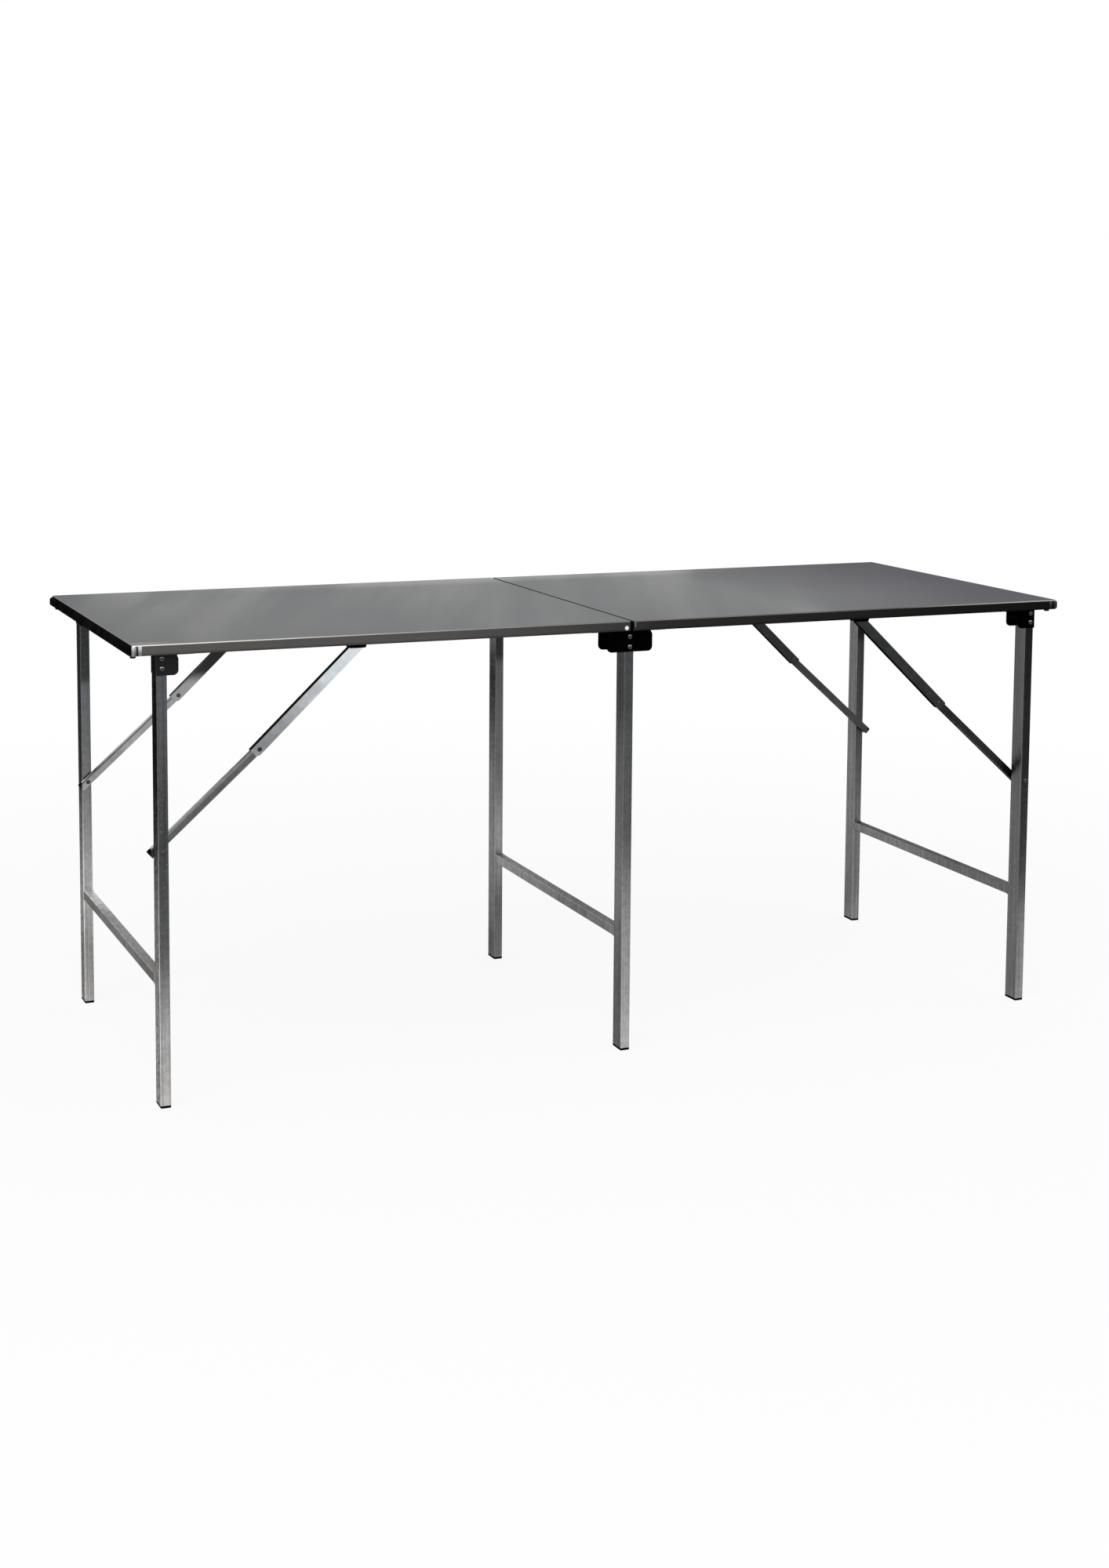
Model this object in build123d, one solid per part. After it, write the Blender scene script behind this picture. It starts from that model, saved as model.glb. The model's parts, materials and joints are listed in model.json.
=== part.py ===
from build123d import *
import math
import os

# Folding work table: two halves of a sheet-metal top on three leg frames.
# Millimetres, +X along the table, -Y the front, +Z up, origin on the floor under the middle.

# Top
table_length = 2000
table_width = 780
table_height = 880
top_thickness = 20
seam_gap = 2
top_corner_radius = 6
top_edge_radius = 3
skin_thickness = 1
board_clearance = 0.2
end_trim_depth = 6
end_trim_top_rounding = 5
end_trim_bottom_rounding = 3.5
end_trim_side_gap = 2

# Leg frames
leg_width = 20
leg_depth = 40
tube_wall = 1.5
tube_corner_radius = 2.5
end_leg_inset = 58
leg_row_inset = 35
leg_top_gap = 4
crossbar_size = 20
crossbar_height = 238

# Feet
foot_flange_height = 5
foot_flange_rounding = 1
foot_plug_length = 25
foot_plug_clearance = 0.2

# Bracket plates on the legs
plate_thickness = 3
end_plate_drop = 40
middle_plate_drop = 43.5
plate_top_gap = 1
plate_corner_radius = 10
wing_edge = 10

# Rivets
rivet_radius = 3
rivet_head_radius = 4.75
rivet_head_height = 2.2
head_rounding = 0.8  # share of a head's height
rivet_clearance = 0.05
end_rivet_drops = (9, 28)
middle_rivet_drops = (13.5, 34)

# Hinges
pin_drop = 14
pin_radius = 4
pin_clearance = 0.05
end_pin_offset = 21
middle_pin_offset = 39
lug_radius = 9
lug_side_gap = 2
lug_base_thickness = 3
lug_base_reach = 41
lug_screw_offsets = (20, 33)

# Struts
strut_gap = 2
channel_wall = 1.5
upper_link_width = 16
upper_link_depth = 20
lower_link_depth = 15
nest_clearance = 0.5
upper_top_hole = 8
upper_knuckle_hole = 11
lower_hole = 8
web_clearance = 1
upper_top_end = 8
upper_top_rounding = 7.9
upper_knuckle_end = 14
upper_knuckle_rounding = 9
lower_knuckle_end = 8
lower_knuckle_rounding = 6.5
lower_foot_end = 20
link_end_rounding = 2
foot_pivot_height = 486.5
top_pivot_lead = 9
strut_bend = 2.5
run_tolerance = 1e-9
knuckle_head_radius = 4.5
knuckle_head_height = 1.5
collar_radius = 6
collar_gap = 0.4

# Cleats that hold the strut tops
cleat_thickness = 2
cleat_length = 35
cleat_flange = 14
cleat_edge = 5
cleat_clearance = 0.5
cleat_corner_radius = 4

# Screws and bumpers
screw_radius = 2.2
screw_length = 16
screw_clearance = 0.05
screw_head_radius = 4
screw_head_height = 2.2
screw_head_rounding = 1.1
bumper_radius = 5.5
bumper_height = 7
bumper_rounding = 1
bumper_end_inset = 7.5
bumper_side_inset = 27

# Levels and rows that several pieces share
underside = table_height - top_thickness
pin_height = underside - pin_drop
leg_top = underside - leg_top_gap
leg_row = table_width / 2 - leg_row_inset
leg_outer_face = leg_row + leg_depth / 2
leg_inner_face = leg_row - leg_depth / 2
end_leg_x = end_leg_inset - table_length / 2
end_pin_x = end_leg_x + end_pin_offset

# Strut layout of the left front leg: with the legs out the knuckle hangs a little below the line between
# the pivots, and with the legs folded the upper link lies along the underside of the top
foot_pivot = (end_leg_x, foot_pivot_height)
folded_foot = (end_pin_x + pin_height - foot_pivot_height, pin_height - end_pin_offset)
top_pivot = (folded_foot[0] + top_pivot_lead, underside - web_clearance - upper_top_hole)
hole_step = upper_knuckle_hole - upper_top_hole
fold_drop = top_pivot[1] - hole_step - folded_foot[1]
strut_span = math.dist(foot_pivot, top_pivot)
strut_angle = math.degrees(math.atan2(top_pivot[1] - foot_pivot[1], top_pivot[0] - foot_pivot[0]))


def link_lengths(run):
    # run is how far the knuckle lies from the top pivot along the table when the legs are folded
    return math.hypot(run, hole_step), math.hypot(run - top_pivot_lead, fold_drop)


def span_with(run):
    upper, lower = link_lengths(run)
    return math.sqrt(upper**2 + lower**2 + 2 * upper * lower * math.cos(math.radians(strut_bend)))


upper_run, run_step = 0, strut_span
while run_step > run_tolerance:
    if span_with(upper_run + run_step) <= strut_span:
        upper_run += run_step
    run_step /= 2
upper_length, lower_length = link_lengths(upper_run)
upper_tilt = math.degrees(math.asin(hole_step / upper_length))
lower_angle = strut_angle - math.degrees(
    math.asin(upper_length * math.sin(math.radians(strut_bend)) / strut_span)
)
upper_angle = lower_angle + strut_bend
knuckle = (
    foot_pivot[0] + lower_length * math.cos(math.radians(lower_angle)),
    foot_pivot[1] + lower_length * math.sin(math.radians(lower_angle)),
)

# Strut rows, counted from the leg's inner face towards the middle of the table
upper_outer = leg_inner_face - strut_gap
upper_inner = upper_outer - upper_link_width
lower_outer = upper_outer - channel_wall - nest_clearance
lower_inner = upper_inner + channel_wall + nest_clearance


def box_between(x_range, y_range, z_range):
    sides = [high - low for low, high in (x_range, y_range, z_range)]
    middle = [(low + high) / 2 for low, high in (x_range, y_range, z_range)]
    return Pos(*middle) * Box(*sides)


def rod(x, z, radius, y_range):
    low, high = y_range
    return Pos(x, (low + high) / 2, z) * Rot(90, 0, 0) * Cylinder(radius, high - low)


def slab(outline, y_range):
    low, high = y_range
    return Pos(0, high, 0) * extrude(Plane.XZ * outline, high - low)


def outline_between(x_range, z_range):
    width = x_range[1] - x_range[0]
    height = z_range[1] - z_range[0]
    return Pos(sum(x_range) / 2, sum(z_range) / 2) * Rectangle(width, height)


def round_corners(outline, radii):
    # radii are for the corners low x low z, low x high z, high x low z, high x high z
    for index, radius in enumerate(radii):
        low_x_first = outline.vertices().sort_by(Axis.X)
        pair = low_x_first[:2] if index < 2 else low_x_first[-2:]
        corner = pair.sort_by(Axis.Y)[index % 2]
        if radius:
            outline = fillet(corner, radius)
    return outline


def head(x, z, radius, height, y_face, side):
    # side is -1 for a head that stands out towards the front and 1 for one that stands out to the back
    low, high = sorted((y_face, y_face + side * height))
    disc = rod(x, z, radius, (low, high))
    rim = disc.edges().filter_by(GeomType.CIRCLE).sort_by(Axis.Y)[0 if side < 0 else -1]
    return fillet(rim, head_rounding * height)


def to_back(shape):
    return mirror(shape, about=Plane.XZ)


def to_right(shape):
    return mirror(shape, about=Plane.YZ)


def front_and_back(shape):
    return [shape, to_back(shape)]


def top_half():
    half_length = (table_length - seam_gap) / 2
    middle = -(table_length + seam_gap) / 4
    top_middle = underside + top_thickness / 2
    outer = Box(half_length, table_width, top_thickness)
    outer = fillet(outer.edges().filter_by(Axis.Z), top_corner_radius)
    outer = fillet(outer.faces().sort_by(Axis.Z)[-1].edges(), top_edge_radius)

    def inside(gap, height):
        core = Box(half_length - 2 * gap, table_width - 2 * gap, height)
        core = fillet(core.edges().filter_by(Axis.Z), top_corner_radius - gap)
        return fillet(core.faces().sort_by(Axis.Z)[-1].edges(), top_edge_radius - skin_thickness)

    core_height = top_thickness - skin_thickness
    cavity = Pos(0, 0, -skin_thickness / 2) * inside(skin_thickness, core_height)
    board = Pos(0, 0, -skin_thickness / 2) * inside(skin_thickness + board_clearance, core_height)
    place = Pos(middle, 0, top_middle)
    return place * (outer - cavity), place * board


def end_trim():
    end_x = -table_length / 2
    outline = outline_between((end_x - end_trim_depth, end_x), (underside, table_height - top_edge_radius))
    outline = round_corners(outline, (end_trim_bottom_rounding, end_trim_top_rounding, 0, 0))
    reach = table_width / 2 - top_corner_radius - end_trim_side_gap
    return slab(outline, (-reach, reach))


def lug(pin_x, reach_side):
    # reach_side is the way along X that the base runs from the pin
    base_range = sorted((pin_x - reach_side * lug_radius, pin_x + reach_side * lug_base_reach))
    base = outline_between(base_range, (underside - lug_base_thickness, underside))
    neck = outline_between((pin_x - lug_radius, pin_x + lug_radius), (pin_height, underside))
    eye = Pos(pin_x, pin_height) * Circle(lug_radius)
    rows = (lug_side_gap - leg_outer_face, -leg_inner_face - lug_side_gap)
    body = slab(base + neck + eye, rows)
    body -= rod(pin_x, pin_height, pin_radius + pin_clearance, rows)
    for offset in lug_screw_offsets:
        hole = Cylinder(screw_radius + screw_clearance, 2 * lug_base_thickness)
        body -= Pos(pin_x + reach_side * offset, -leg_row, underside) * hole
    return body


def screw(x, y, seat):
    shank = Cylinder(screw_radius, screw_length, align=(Align.CENTER, Align.CENTER, Align.MIN))
    cap = Cylinder(screw_head_radius, screw_head_height, align=(Align.CENTER, Align.CENTER, Align.MAX))
    cap = fillet(cap.edges().sort_by(Axis.Z)[0], screw_head_rounding)
    return Pos(x, y, seat) * (shank + cap)


def cleat(side):
    # side is -1 for the cleat next to the leg and 1 for the one nearer the middle of the table
    face = -upper_outer if side < 0 else -upper_inner
    near = face + side * cleat_clearance
    far = near + side * cleat_thickness
    tip = far + side * cleat_flange
    x_range = (top_pivot[0] - cleat_length / 2, top_pivot[0] + cleat_length / 2)
    outline = outline_between(x_range, (top_pivot[1] - cleat_edge, underside))
    outline = round_corners(outline, (cleat_corner_radius, 0, cleat_corner_radius, 0))
    cheek = slab(outline, sorted((near, far)))
    cheek -= rod(*top_pivot, rivet_radius + rivet_clearance, sorted((near, far)))
    flange = box_between(x_range, sorted((near, tip)), (underside - cleat_thickness, underside))
    hole = Pos(top_pivot[0], (far + tip) / 2, underside) * Cylinder(
        screw_radius + screw_clearance, 2 * cleat_thickness
    )
    return cheek + flange - hole, (far + tip) / 2


def leg(x, rivet_drops, strut_hole):
    tube = RectangleRounded(leg_width, leg_depth, tube_corner_radius)
    bore = RectangleRounded(
        leg_width - 2 * tube_wall, leg_depth - 2 * tube_wall, tube_corner_radius - tube_wall
    )
    body = Pos(x, -leg_row, foot_flange_height) * extrude(tube - bore, leg_top - foot_flange_height)
    heights = [underside - drop for drop in rivet_drops]
    if strut_hole:
        heights.append(foot_pivot_height)
    for height in heights:
        body -= rod(x, height, rivet_radius + rivet_clearance, (-leg_outer_face, -leg_inner_face))
    return body


def crossbar(x):
    tube = RectangleRounded(crossbar_size, crossbar_size, tube_corner_radius)
    bore_size = crossbar_size - 2 * tube_wall
    bore = RectangleRounded(bore_size, bore_size, tube_corner_radius - tube_wall)
    profile = Pos(x, crossbar_height) * (tube - bore)
    return slab(profile, (-leg_inner_face, leg_inner_face))


def foot(x):
    flange = extrude(RectangleRounded(leg_width, leg_depth, tube_corner_radius), foot_flange_height)
    flange = fillet(flange.faces().sort_by(Axis.Z)[0].edges(), foot_flange_rounding)
    plug = extrude(
        RectangleRounded(
            leg_width - 2 * (tube_wall + foot_plug_clearance),
            leg_depth - 2 * (tube_wall + foot_plug_clearance),
            tube_corner_radius - tube_wall,
        ),
        foot_plug_length,
    )
    return Pos(x, -leg_row, 0) * (flange + Pos(0, 0, foot_flange_height) * plug)


def plates(x, plate_drop, rivet_drops, pins, x_range):
    outline = outline_between(x_range, (underside - plate_drop, underside - plate_top_gap))
    left_wing = plate_corner_radius if min(pins) < x else 0
    outline = round_corners(outline, (left_wing, left_wing, plate_corner_radius, plate_corner_radius))
    pair = []
    for near in (-leg_outer_face - plate_thickness, -leg_inner_face):
        rows = (near, near + plate_thickness)
        plate = slab(outline, rows)
        for drop in rivet_drops:
            plate -= rod(x, underside - drop, rivet_radius + rivet_clearance, rows)
        for pin_x in pins:
            plate -= rod(pin_x, pin_height, pin_radius + pin_clearance, rows)
        pair.append(plate)
    return pair


def plate_rivet(x, drop):
    height = underside - drop
    rows = (-leg_outer_face - plate_thickness, -leg_inner_face + plate_thickness)
    front_head = head(x, height, rivet_head_radius, rivet_head_height, rows[0], -1)
    back_head = head(x, height, rivet_head_radius, rivet_head_height, rows[1], 1)
    return rod(x, height, rivet_radius, rows) + front_head + back_head


def hinge_pin(x):
    rows = (-leg_outer_face - plate_thickness, -leg_inner_face + plate_thickness)
    return rod(x, pin_height, pin_radius, rows)


def strut_rivet():
    shank = rod(*foot_pivot, rivet_radius, (-leg_outer_face, -leg_inner_face))
    return shank + head(*foot_pivot, rivet_head_radius, rivet_head_height, -leg_outer_face, -1)


def channel(outline, inner_outline, place, rows):
    # a channel open on the side away from its web
    low, high = rows
    body = slab(place * outline, rows)
    return body - slab(place * inner_outline, (low + channel_wall, high - channel_wall))


def upper_link():
    along = (-upper_knuckle_end, upper_run + upper_top_end)
    across = (upper_knuckle_hole - upper_link_depth, upper_knuckle_hole)
    outline = round_corners(
        outline_between(along, across),
        (upper_knuckle_rounding, link_end_rounding, upper_top_rounding, upper_top_rounding),
    )
    inner = outline_between(
        (along[0] - channel_wall, along[1] + channel_wall),
        (across[0] - channel_wall, across[1] - channel_wall),
    )
    place = Pos(*knuckle) * Rot(0, 0, upper_angle - upper_tilt)
    rows = (-upper_outer, -upper_inner)
    body = channel(outline, inner, place, rows)
    body -= rod(*knuckle, rivet_radius + rivet_clearance, rows)
    return body - rod(*top_pivot, rivet_radius + rivet_clearance, rows)


def lower_link():
    along = (-lower_foot_end, lower_length + lower_knuckle_end)
    across = (lower_hole - lower_link_depth, lower_hole)
    outline = round_corners(
        outline_between(along, across),
        (link_end_rounding, link_end_rounding, lower_knuckle_rounding, lower_knuckle_rounding),
    )
    inner = outline_between(
        (along[0] - channel_wall, along[1] + channel_wall),
        (across[0] - channel_wall, across[1] - channel_wall),
    )
    place = Pos(*foot_pivot) * Rot(0, 0, lower_angle)
    rows = (-lower_outer, -lower_inner)
    body = channel(outline, inner, place, rows)
    body -= rod(*knuckle, rivet_radius + rivet_clearance, rows)
    return body - rod(*foot_pivot, rivet_radius + rivet_clearance, rows)


def knuckle_rivet():
    shank = rod(*knuckle, rivet_radius, (-upper_outer, -upper_inner))
    outer_head = head(*knuckle, knuckle_head_radius, knuckle_head_height, -upper_outer, -1)
    inner_head = head(*knuckle, knuckle_head_radius, knuckle_head_height, -upper_inner, 1)
    return shank + outer_head + inner_head


def foot_rivet():
    collar = rod(*foot_pivot, collar_radius, (collar_gap - leg_inner_face, -lower_outer))
    shank = rod(*foot_pivot, rivet_radius, (-lower_outer, -lower_inner))
    inner_head = head(*foot_pivot, knuckle_head_radius, knuckle_head_height, -lower_inner, 1)
    return collar + shank + inner_head


def bumper():
    pad = Cylinder(bumper_radius, bumper_height, align=(Align.CENTER, Align.CENTER, Align.MAX))
    pad = fillet(pad.edges().sort_by(Axis.Z)[0], bumper_rounding)
    x = bumper_end_inset - table_length / 2
    y = bumper_side_inset - table_width / 2
    return Pos(x, y, underside) * pad


def left_side():
    skin, board = top_half()
    screw_places = []
    for offset in lug_screw_offsets:
        screw_places.append((end_pin_x + offset, -leg_row, underside - lug_base_thickness))
        screw_places.append((-middle_pin_offset - offset, -leg_row, underside - lug_base_thickness))
    cleats = []
    for side in (-1, 1):
        shape, row = cleat(side)
        cleats += front_and_back(shape)
        screw_places.append((top_pivot[0], row, underside - cleat_thickness))
    screws = []
    for x, y, seat in screw_places:
        screws += front_and_back(screw(x, y, seat))
        pilot = Cylinder(
            screw_radius + screw_clearance,
            screw_length,
            align=(Align.CENTER, Align.CENTER, Align.MIN),
        )
        for row in (y, -y):
            board -= Pos(x, row, seat) * pilot

    cleat_reach = cleat_clearance + cleat_thickness
    pin_rows = (-upper_outer - cleat_reach, cleat_reach - upper_inner)
    end_wing = (end_leg_x - leg_width / 2, end_pin_x + wing_edge)
    end_plates = plates(end_leg_x, end_plate_drop, end_rivet_drops, [end_pin_x], end_wing)
    end_rivets = [plate_rivet(end_leg_x, drop) for drop in end_rivet_drops]
    end_leg = leg(end_leg_x, end_rivet_drops, True)
    nodes = {
        "top_skin": [skin],
        "top_board": [board],
        "end_trim": [end_trim()],
        "middle_lugs": front_and_back(lug(-middle_pin_offset, -1)),
        "leg_lugs": front_and_back(lug(end_pin_x, 1)),
        "strut_cleats": cleats,
        "strut_top_pins": front_and_back(rod(*top_pivot, rivet_radius, pin_rows)),
        "top_screws": screws,
        "bumpers": front_and_back(bumper()),
        "front_leg": [end_leg],
        "back_leg": [to_back(end_leg)],
        "crossbar": [crossbar(end_leg_x)],
        "feet": front_and_back(foot(end_leg_x)),
        "front_plates": end_plates,
        "back_plates": [to_back(plate) for plate in end_plates],
        "plate_rivets": end_rivets + [to_back(rivet) for rivet in end_rivets],
        "hinge_pins": front_and_back(hinge_pin(end_pin_x)),
        "strut_rivets": front_and_back(strut_rivet()),
    }
    strut = {
        "upper_link": upper_link(),
        "lower_link": lower_link(),
        "knuckle_rivet": knuckle_rivet(),
        "foot_rivet": foot_rivet(),
    }
    for name, shape in strut.items():
        nodes["front_" + name] = [shape]
        nodes["back_" + name] = [to_back(shape)]
    return nodes


def middle_frame():
    wing = middle_pin_offset + wing_edge
    pins = [-middle_pin_offset, middle_pin_offset]
    front_plates = plates(0, middle_plate_drop, middle_rivet_drops, pins, (-wing, wing))
    rivets = [plate_rivet(0, drop) for drop in middle_rivet_drops]
    middle_leg = leg(0, middle_rivet_drops, False)
    return {
        "front_leg": [middle_leg],
        "back_leg": [to_back(middle_leg)],
        "crossbar": [crossbar(0)],
        "feet": front_and_back(foot(0)),
        "front_plates": front_plates,
        "back_plates": [to_back(plate) for plate in front_plates],
        "plate_rivets": rivets + [to_back(rivet) for rivet in rivets],
        "hinge_pins": [shape for pin_x in pins for shape in front_and_back(hinge_pin(pin_x))],
    }


def save(name, shapes):
    shape = shapes[0] if len(shapes) == 1 else Compound(shapes)
    export_step(shape, "parts/" + name + ".step")


os.makedirs("parts", exist_ok=True)
for name, shapes in middle_frame().items():
    save("middle_" + name, shapes)
for name, shapes in left_side().items():
    save("left_" + name, shapes)
    save("right_" + name, [to_right(shape) for shape in shapes])

fold_up = upper_angle - upper_tilt
folded_lower = math.degrees(math.asin(fold_drop / lower_length))
print("end hinge", end_pin_x, pin_height, "middle hinge", middle_pin_offset, pin_height)
print("strut pivots: top", top_pivot, "knuckle", knuckle, "foot", foot_pivot)
print("link lengths", upper_length, lower_length)
print("upper link swings", fold_up, "knuckle opens", fold_up + 180 - lower_angle - folded_lower)
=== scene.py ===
import json
import math
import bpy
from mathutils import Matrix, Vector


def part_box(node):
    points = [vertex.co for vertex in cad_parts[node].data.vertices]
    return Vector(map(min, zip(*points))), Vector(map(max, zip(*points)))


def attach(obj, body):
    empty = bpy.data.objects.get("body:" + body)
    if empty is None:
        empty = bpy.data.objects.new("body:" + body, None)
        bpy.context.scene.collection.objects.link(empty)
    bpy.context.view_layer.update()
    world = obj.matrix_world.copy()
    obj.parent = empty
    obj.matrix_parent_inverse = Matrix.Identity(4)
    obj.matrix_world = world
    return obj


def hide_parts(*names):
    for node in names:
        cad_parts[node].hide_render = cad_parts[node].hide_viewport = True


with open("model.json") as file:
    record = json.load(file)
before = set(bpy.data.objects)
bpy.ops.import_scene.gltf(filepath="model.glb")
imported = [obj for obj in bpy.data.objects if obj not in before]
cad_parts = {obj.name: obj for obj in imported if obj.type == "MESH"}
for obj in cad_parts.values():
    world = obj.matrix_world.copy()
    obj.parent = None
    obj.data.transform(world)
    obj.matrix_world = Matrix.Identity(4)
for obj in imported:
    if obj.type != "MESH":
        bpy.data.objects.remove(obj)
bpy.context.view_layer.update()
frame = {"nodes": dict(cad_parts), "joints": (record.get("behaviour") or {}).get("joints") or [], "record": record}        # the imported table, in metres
from types import SimpleNamespace
import bmesh
import bpy
import numpy as np
from mathutils import Matrix, Vector


# places read from the frame
def centre(node):
    low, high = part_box(node)
    return (low + high) / 2


def pivot(joint):
    return next(Vector(row["pos_m"]) for row in frame["joints"] if row["name"] == joint)


skinLow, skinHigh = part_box("right_top_skin")
legLow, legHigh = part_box("middle_back_leg")
tableEnd = skinHigh.x    # half the table's length, without its end trims
underTop = skinLow.z     # the rim's lower edge, level with the board's underside
legTop = legHigh.z
legFace = legLow.y       # inner face of the back legs, where the crossbars end
legRow = centre("middle_back_leg").y


# small helpers for node trees
def feed(tree, socket, value):
    if isinstance(value, bpy.types.NodeSocket):
        tree.links.new(value, socket)
    else:
        socket.default_value = value


def put(tree, kind, values=None, **settings):
    node = tree.nodes.new(kind)
    for name, setting in settings.items():
        setattr(node, name, setting)
    for name, value in (values or {}).items():
        feed(tree, node.inputs[name], value)
    return node


def sums(tree, operation, first, second=0.0, third=0.0):
    return put(tree, "ShaderNodeMath", {0: first, 1: second, 2: third}, operation=operation).outputs[0]


def both(tree, first, *others):
    # where all the masks hold
    for other in others:
        first = sums(tree, "MULTIPLY", first, other)
    return first


def average(tree, first, second):
    return sums(tree, "MULTIPLY", sums(tree, "ADD", first, second), 0.5)


def spread(tree, value, limits, low=0.0, high=1.0):
    # a soft step from low to high while value goes from the first limit to the second
    values = {0: value, 1: limits[0], 2: limits[1], 3: low, 4: high}
    return put(tree, "ShaderNodeMapRange", values, interpolation_type="SMOOTHSTEP").outputs[0]


def vary(tree, mask, limits):
    # a mask from 0 to 1 turned into a value between two limits
    return spread(tree, mask, (0.0, 1.0), *limits)


def blend(tree, share, first, second, kind="MIX"):
    values = {0: share, 6: first, 7: second}
    return put(tree, "ShaderNodeMix", values, data_type="RGBA", blend_type=kind).outputs[2]


def times(tree, colour, *factors):
    for factor in factors:
        colour = blend(tree, 1.0, colour, factor, "MULTIPLY")
    return colour


def grey(level, warmth=0.0):
    # warmth tips a grey towards yellow, below zero towards blue
    return (level * (1 + warmth), level, level * (1 - warmth), 1)


def greys(tree, value, stops, warmth=(0.0, 0.0)):
    # greys at marks from 0 to 1, their warmth going from its first value to its second
    node = put(tree, "ShaderNodeValToRGB", {0: value})
    marks = node.color_ramp.elements
    while len(marks) < len(stops):
        marks.new(0.5)
    for mark, (place, level) in zip(marks, stops):
        mark.position = place
        mark.color = grey(level, warmth[0] + (warmth[1] - warmth[0]) * place)
    return node.outputs[0]


def noise(tree, place, size, detail):
    return put(tree, "ShaderNodeTexNoise", {"Vector": place, "Scale": size, "Detail": detail}).outputs


def parts(tree, vector):
    return put(tree, "ShaderNodeSeparateXYZ", {0: vector}).outputs


def newGroup(name, inputs, output):
    tree = bpy.data.node_groups.new(name, "ShaderNodeTree")
    for title, kind in inputs.items():
        tree.interface.new_socket(title, in_out="INPUT", socket_type="NodeSocket" + kind)
    tree.interface.new_socket(output, in_out="OUTPUT", socket_type="NodeSocketFloat")
    return tree, tree.nodes.new("NodeGroupInput").outputs, tree.nodes.new("NodeGroupOutput").inputs[output]


def use(tree, group, **values):
    return put(tree, "ShaderNodeGroup", values, node_tree=group).outputs[0]


# shared surface effects: patches of tone, drawn lines, crystals, scratches in worn patches, bent edges
effect = {"driftSteps": (0.32, 0.68), "driftDetail": 3.0, "lineSteps": (0.3, 0.7), "lineDetail": 5.0,
          "wobble": (0.004, 0.004, 0.004), "wobbleDetail": 2.0,
          "scratchTurns": ((0.5, 0.2, 0.45), (-0.3, 0.4, -1.0)), "scratchShape": (1, 0.05, 1),
          "scratchSteps": (0.65, 0.74), "scratchDetail": 2.0,
          "wornSize": 5.0, "wornSteps": (0.42, 0.62), "wornDetail": 2.0, "bendSteps": (0.88, 0.985)}

toneDrift, source, sink = newGroup("toneDrift", {"Place": "Vector", "Size": "Float"}, "Drift")
cloud = noise(toneDrift, source["Place"], source["Size"], effect["driftDetail"])
feed(toneDrift, sink, spread(toneDrift, cloud[0], effect["driftSteps"]))

rollGrain, source, sink = newGroup("rollGrain", {"Place": "Vector", "Stretch": "Vector"}, "Lines")
drawn = put(rollGrain, "ShaderNodeMapping", {"Vector": source["Place"], "Scale": source["Stretch"]})
cloud = noise(rollGrain, drawn.outputs[0], 1.0, effect["lineDetail"])
feed(rollGrain, sink, spread(rollGrain, cloud[0], effect["lineSteps"]))

spangle, source, sink = newGroup("spangle", {"Place": "Vector", "Size": "Float"}, "Crystal")
cloud = noise(spangle, source["Place"], source["Size"], effect["wobbleDetail"])
shift = put(spangle, "ShaderNodeVectorMath", {0: cloud[1], 1: effect["wobble"]}, operation="MULTIPLY")
bent = put(spangle, "ShaderNodeVectorMath", {0: source["Place"], 1: shift.outputs[0]}, operation="ADD")
cells = put(spangle, "ShaderNodeTexVoronoi", {"Vector": bent.outputs[0], "Scale": source["Size"]})
feed(spangle, sink, put(spangle, "ShaderNodeSeparateColor", {0: cells.outputs[1]}).outputs[0])

scuffs, source, sink = newGroup("scuffs", {"Place": "Vector", "Size": "Float"}, "Scuff")
sized = put(scuffs, "ShaderNodeVectorMath", {0: source["Place"], "Scale": source["Size"]}, operation="SCALE")
scratches = []
for turn in effect["scratchTurns"]:
    values = {"Vector": sized.outputs[0], "Rotation": turn, "Scale": effect["scratchShape"]}
    cloud = noise(scuffs, put(scuffs, "ShaderNodeMapping", values).outputs[0], 1.0, effect["scratchDetail"])
    scratches.append(spread(scuffs, cloud[0], effect["scratchSteps"]))
patch = noise(scuffs, source["Place"], effect["wornSize"], effect["wornDetail"])
worn = spread(scuffs, patch[0], effect["wornSteps"])
feed(scuffs, sink, both(scuffs, sums(scuffs, "MAXIMUM", *scratches), worn))

bentEdge, source, sink = newGroup("bentEdge", {"Facing": "Vector"}, "Bent")
sides = [sums(bentEdge, "ABSOLUTE", side) for side in parts(bentEdge, source["Facing"])]
squarest = sums(bentEdge, "MAXIMUM", sums(bentEdge, "MAXIMUM", sides[0], sides[1]), sides[2])
feed(bentEdge, sink, spread(bentEdge, squarest, effect["bendSteps"], 1.0, 0.0))
print("shared surface effects:", ", ".join(group.name for group in bpy.data.node_groups))


def startFinish(name):
    # at holds the surface's place and facing, whole and as parts
    material = bpy.data.materials.new(name)
    material.use_nodes = True
    tree = material.node_tree
    tree.nodes.clear()
    shader = put(tree, "ShaderNodeBsdfPrincipled")
    put(tree, "ShaderNodeOutputMaterial", {0: shader.outputs[0]})
    where = put(tree, "ShaderNodeTexCoord").outputs
    at = SimpleNamespace(place=where["Object"], facing=where["Normal"])
    at.x, at.y, at.z = parts(tree, at.place)
    at.nx, at.ny, at.nz = parts(tree, at.facing)
    return material, tree, shader.inputs, at


def alongTable(tree, at):
    # 0 at the table's left end, 1 at its right end
    return sums(tree, "MULTIPLY_ADD", at.x, 0.5 / tableEnd, 0.5)


def dent(tree, height, strength, depth=0.0002):
    values = {"Height": height, "Strength": strength, "Distance": depth}
    return put(tree, "ShaderNodeBump", values).outputs[0]


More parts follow.
